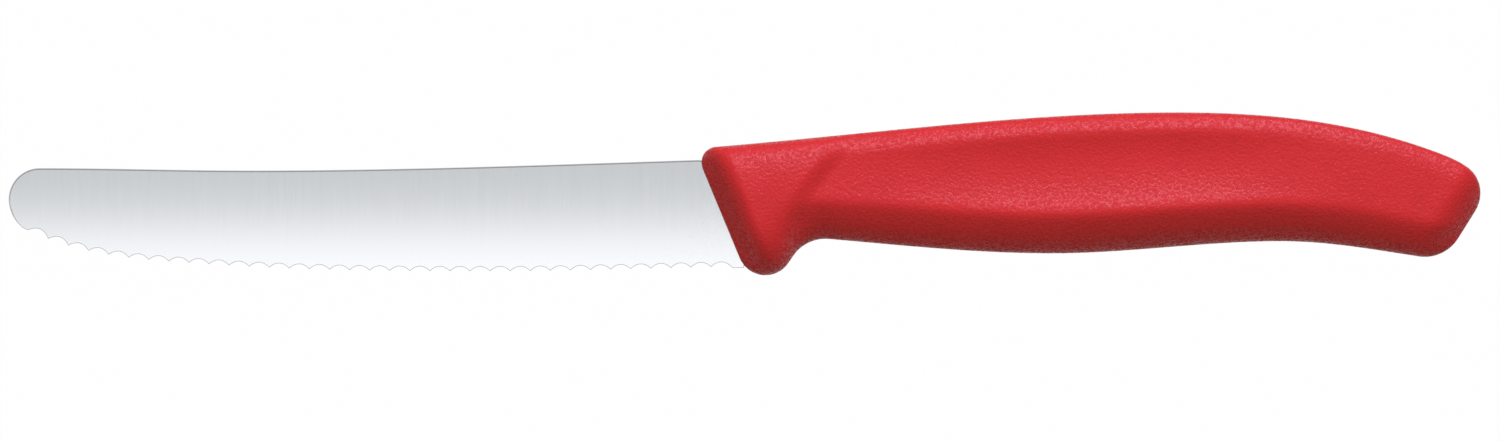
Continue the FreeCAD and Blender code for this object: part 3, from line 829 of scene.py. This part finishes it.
    bmesh.ops.remove_doubles(bm, verts=bm.verts, dist=MERGE_DISTANCE)
    bmesh.ops.dissolve_degenerate(bm, dist=EMPTY_DISTANCE, edges=bm.edges)
    bmesh.ops.recalc_face_normals(bm, faces=bm.faces)
    for edge in bm.edges:
        if len(edge.link_faces) == 2 and edge.calc_face_angle() > math.radians(SHARP_ANGLE):
            edge.smooth = False
    for face in bm.faces:
        for loop in face.loops:
            loop[uv].uv = (loop.vert.co.x * UV_SCALE, loop.vert.co.y * UV_SCALE)
    return bm


# Materials
def new_material(name):
    material = bpy.data.materials.new(name)
    material.use_nodes = True
    tree = material.node_tree
    return material, tree, tree.nodes["Principled BSDF"]


def grey(value):
    return (value, value, value)


def ramp(tree, stops):
    """Colour ramp through (place, colour) stops."""
    made = tree.nodes.new("ShaderNodeValToRGB")
    elements = made.color_ramp.elements
    while len(elements) < len(stops):
        elements.new(0.5)
    for element, (place, colour) in zip(elements, stops):
        element.position = place
        element.color = (*colour, 1.0)
    return made


def mix_colours(tree, share, first, second):
    """Colour between two, each a colour or a socket, at the share of a socket."""
    made = tree.nodes.new("ShaderNodeMix")
    made.data_type = "RGBA"
    tree.links.new(share, made.inputs[0])
    for place, colour in ((6, first), (7, second)):
        if isinstance(colour, tuple):
            made.inputs[place].default_value = (*colour, 1.0)
        else:
            tree.links.new(colour, made.inputs[place])
    return made.outputs[2]


def noise(tree, vector, scale, detail, roughness):
    made = tree.nodes.new("ShaderNodeTexNoise")
    made.inputs["Scale"].default_value = scale
    made.inputs["Detail"].default_value = detail
    made.inputs["Roughness"].default_value = roughness
    tree.links.new(vector, made.inputs["Vector"])
    return made


def math_node(tree, operation, first, second):
    made = tree.nodes.new("ShaderNodeMath")
    made.operation = operation
    for socket, value in zip(made.inputs, (first, second)):
        if isinstance(value, (int, float)):
            socket.default_value = value
        else:
            tree.links.new(value, socket)
    return made.outputs[0]


def weighted(tree, noises, weights):
    """Weighted sum of two noises."""
    parts = [math_node(tree, "MULTIPLY", n.outputs["Fac"], w) for n, w in zip(noises, weights)]
    return math_node(tree, "ADD", *parts)


def add_bump(tree, shader, height, strength, distance):
    bump = tree.nodes.new("ShaderNodeBump")
    bump.inputs["Strength"].default_value = strength
    bump.inputs["Distance"].default_value = distance
    tree.links.new(height, bump.inputs["Height"])
    tree.links.new(bump.outputs["Normal"], shader.inputs["Normal"])


# Noises: scale per metre, detail and roughness. Bumps: strength, and height in metres.
GRAIN = (2300, 2.0, 0.5)
GRAIN_BUMP = (1.0, 0.00011)
CLOUDS = (160, 3.0, 0.5)
PLASTIC_WEIGHTS = (0.7, 0.3)  # of grain and clouds
PLASTIC_COLOUR = [(0.36, (0.64, 0.0245, 0.0285)), (0.64, (0.575, 0.0205, 0.0235))]
PLASTIC_ROUGHNESS = [(0.41, grey(0.21)), (0.59, grey(0.6))]
PLASTIC_SPECULAR = 0.17
LINES = (9000, 3.0, 0.6)
LINE_STRETCH = (1.0, 0.02, 0.02)  # the ground lines run from spine to edge
LINE_BUMP = (0.05, 0.00001)
STREAKS = (500, 4.0, 0.6)
STEEL_WEIGHTS = (0.6, 0.4)  # of lines and streaks
STEEL_COLOUR = [(0.3, (0.90, 0.90, 0.905)), (0.7, (0.94, 0.94, 0.945))]
STEEL_ROUGHNESS = [(0.3, grey(0.13)), (0.7, grey(0.148))]
# colour of the painted shade on the steel's rounded and broken edges
PAINTED_SHADE_COLOUR = (0.03, 0.03, 0.031)


def plastic():
    """Red moulded plastic with a fine spark-eroded grain."""
    material, tree, shader = new_material("red_plastic")
    place = tree.nodes.new("ShaderNodeTexCoord").outputs["Object"]
    grain = noise(tree, place, *GRAIN)
    clouds = noise(tree, place, *CLOUDS)
    mixed = weighted(tree, (grain, clouds), PLASTIC_WEIGHTS)
    colour = ramp(tree, PLASTIC_COLOUR)
    tree.links.new(mixed, colour.inputs["Fac"])
    tree.links.new(colour.outputs["Color"], shader.inputs["Base Color"])
    rough = ramp(tree, PLASTIC_ROUGHNESS)
    tree.links.new(grain.outputs["Fac"], rough.inputs["Fac"])
    tree.links.new(rough.outputs["Color"], shader.inputs["Roughness"])
    add_bump(tree, shader, grain.outputs["Fac"], *GRAIN_BUMP)
    shader.inputs["Specular IOR Level"].default_value = PLASTIC_SPECULAR
    return material


def steel():
    """Ground steel with fine lines from spine to edge, with painted shade on its rounded and broken
    edges.
    """
    material, tree, shader = new_material("ground_steel")
    place = tree.nodes.new("ShaderNodeTexCoord").outputs["Object"]
    stretch = tree.nodes.new("ShaderNodeMapping")
    stretch.inputs["Scale"].default_value = LINE_STRETCH
    tree.links.new(place, stretch.inputs["Vector"])
    lines = noise(tree, stretch.outputs["Vector"], *LINES)
    streaks = noise(tree, stretch.outputs["Vector"], *STREAKS)
    mixed = weighted(tree, (lines, streaks), STEEL_WEIGHTS)
    ground = ramp(tree, STEEL_COLOUR)
    tree.links.new(mixed, ground.inputs["Fac"])
    # painted shade on the rounded and broken edges, read from the rim mask
    rim = tree.nodes.new("ShaderNodeAttribute")
    rim.attribute_name = "rim"
    colour = mix_colours(tree, rim.outputs["Fac"], ground.outputs["Color"], PAINTED_SHADE_COLOUR)
    tree.links.new(colour, shader.inputs["Base Color"])
    rough = ramp(tree, STEEL_ROUGHNESS)
    tree.links.new(mixed, rough.inputs["Fac"])
    tree.links.new(rough.outputs["Color"], shader.inputs["Roughness"])
    shader.inputs["Metallic"].default_value = 1.0
    shader.inputs["Anisotropic"].default_value = 1.0
    tangent = tree.nodes.new("ShaderNodeTangent")
    tangent.direction_type = "UV_MAP"
    tangent.uv_map = "side"
    tree.links.new(tangent.outputs["Tangent"], shader.inputs["Tangent"])
    add_bump(tree, shader, lines.outputs["Fac"], *LINE_BUMP)
    return material


handle_piece = new_piece("handle_moulding", handle_mesh(), plastic(), "handle")
new_piece("blade_steel", blade_mesh(), steel(), "blade")


# Stage, in metres: pale floor, card, lamp, world and camera
FLOOR_HALF_SIZE = 8.0
FLOOR_DROP = 0.00005  # below the knife
FLOOR_GREY = grey(0.25)
FLOOR_GLOW_SHARE = 0.995  # the rest shows the shadow
CARD_CORNERS = [(-0.6, -0.13), (0.4, -0.13), (0.4, 0.04), (-0.6, 0.04)]
CARD_HEIGHT = 0.82
CARD_GRADE = (-0.048, -0.040)  # along Y, from white to grey
CARD_COLOUR = [(0.0, (1.15, 1.157, 1.185)), (1.0, (0.575, 0.600, 0.617))]
KEY_PLACE = (0.13, 0.66, 0.83)
KEY_AIM = (0.0, 0.0, 0.0)
KEY_SIZE = (0.9, 0.7)
KEY_POWER = 12.4  # watts
KEY_COLOUR = (1.0, 0.96, 1.25)
FILL = (0.222, 0.31, 0.15)
WHITE = grey(1.0)
WALLS = [(0.0, (0.52, 0.525, 0.535)), (0.72, (0.5, 0.505, 0.515)), (0.93, (0.25, 0.255, 0.26))]
CAMERA_AT = flat(7.305, -9.0, 1500.0)  # in the drawing, in millimetres, as lens and sensor are
CAMERA_LENS = 240
CAMERA_SENSOR = 36
CAMERA_RANGE = (0.01, 50)


def stage_piece(name, bm, material_name):
    """Mesh object of the stage, with its material's bare node tree."""
    mesh = bpy.data.meshes.new(name)
    bm.to_mesh(mesh)
    bm.free()
    made = bpy.data.objects.new(name, mesh)
    bpy.context.scene.collection.objects.link(made)
    material, tree, shader = new_material(material_name)
    tree.nodes.remove(shader)
    mesh.materials.append(material)
    return made, tree


def bounced_rays(tree, rays):
    """1 for rays by way of metal or glass, which show the surroundings."""
    glossy, through_glass = rays.outputs["Is Glossy Ray"], rays.outputs["Is Transmission Ray"]
    return math_node(tree, "MAXIMUM", glossy, through_glass)


def floor():
    """White to the camera and in reflections, grey to the light, with the knife's shadow."""
    bm = bmesh.new()
    bmesh.ops.create_grid(bm, x_segments=1, y_segments=1, size=FLOOR_HALF_SIZE)
    made, tree = stage_piece("floor", bm, "floor_white")
    made.location.z = -FLOOR_DROP
    diffuse = tree.nodes.new("ShaderNodeBsdfDiffuse")
    diffuse.inputs["Color"].default_value = (*FLOOR_GREY, 1.0)
    glow = tree.nodes.new("ShaderNodeEmission")
    glow.inputs["Color"].default_value = (*WHITE, 1.0)
    glow.inputs["Strength"].default_value = 1.0
    rays = tree.nodes.new("ShaderNodeLightPath")
    bounced = bounced_rays(tree, rays)
    seen = math_node(tree, "MAXIMUM", rays.outputs["Is Camera Ray"], bounced)
    share = math_node(tree, "MULTIPLY", seen, FLOOR_GLOW_SHARE)
    mix = tree.nodes.new("ShaderNodeMixShader")
    tree.links.new(share, mix.inputs["Fac"])
    tree.links.new(diffuse.outputs[0], mix.inputs[1])
    tree.links.new(glow.outputs[0], mix.inputs[2])
    tree.links.new(mix.outputs[0], tree.nodes["Material Output"].inputs["Surface"])
    return made


def gradient_card():
    """Card that the blade mirrors, hidden from the camera: grey at the spine, white at the edge."""
    bm = bmesh.new()
    bm.faces.new([bm.verts.new((x, y, 0)) for x, y in CARD_CORNERS[::-1]])
    made, tree = stage_piece("graded_card", bm, "graded_card")
    made.location.z = CARD_HEIGHT
    made.visible_camera = False
    place = tree.nodes.new("ShaderNodeTexCoord").outputs["Object"]
    split = tree.nodes.new("ShaderNodeSeparateXYZ")
    tree.links.new(place, split.inputs["Vector"])
    spread = tree.nodes.new("ShaderNodeMapRange")
    spread.inputs["From Min"].default_value = CARD_GRADE[0]
    spread.inputs["From Max"].default_value = CARD_GRADE[1]
    tree.links.new(split.outputs["Y"], spread.inputs["Value"])
    shade = ramp(tree, CARD_COLOUR)
    tree.links.new(spread.outputs["Result"], shade.inputs["Fac"])
    glow = tree.nodes.new("ShaderNodeEmission")
    tree.links.new(shade.outputs["Color"], glow.inputs["Color"])
    tree.links.new(glow.outputs[0], tree.nodes["Material Output"].inputs["Surface"])


def key_softbox(receivers):
    """Key light on the given pieces. The mirror-like steel is left to the card and the walls."""
    lamp = bpy.data.lights.new("key_softbox", "AREA")
    lamp.shape = "RECTANGLE"
    lamp.size, lamp.size_y = KEY_SIZE
    lamp.energy = KEY_POWER
    lamp.color = KEY_COLOUR
    made = bpy.data.objects.new("key_softbox", lamp)
    made.location = KEY_PLACE
    towards = Vector(KEY_AIM) - Vector(KEY_PLACE)
    made.rotation_euler = towards.to_track_quat("-Z", "Y").to_euler()
    bpy.context.scene.collection.objects.link(made)
    lit = bpy.data.collections.new("lit_by_key")
    for piece in receivers:
        lit.objects.link(piece)
    made.light_linking.receiver_collection = lit


def surroundings():
    """Soft fill light, pale walls for the steel to mirror, and white beyond the floor."""
    world = bpy.data.worlds.new("studio")
    bpy.context.scene.world = world
    world.use_nodes = True
    tree = world.node_tree
    rays = tree.nodes.new("ShaderNodeLightPath")
    place = tree.nodes.new("ShaderNodeTexCoord").outputs["Generated"]
    split = tree.nodes.new("ShaderNodeSeparateXYZ")
    tree.links.new(place, split.inputs["Vector"])
    walls = ramp(tree, WALLS)
    tree.links.new(split.outputs["Z"], walls.inputs["Fac"])
    mirrored = mix_colours(tree, bounced_rays(tree, rays), FILL, walls.outputs["Color"])
    seen = mix_colours(tree, rays.outputs["Is Camera Ray"], mirrored, WHITE)
    tree.links.new(seen, tree.nodes["Background"].inputs["Color"])
    tree.nodes["Background"].inputs["Strength"].default_value = 1.0


floor_piece = floor()
gradient_card()
key_softbox((handle_piece, floor_piece))
surroundings()

camera = bpy.data.cameras.new("photo_camera")
camera.lens = CAMERA_LENS
camera.sensor_width = CAMERA_SENSOR
camera.sensor_fit = "HORIZONTAL"
camera.clip_start, camera.clip_end = CAMERA_RANGE
camera_piece = bpy.data.objects.new("photo_camera", camera)
camera_piece.location = to_row(CAMERA_AT)
bpy.context.scene.collection.objects.link(camera_piece)
bpy.context.scene.camera = camera_piece

bpy.context.scene.view_settings.view_transform = "Standard"
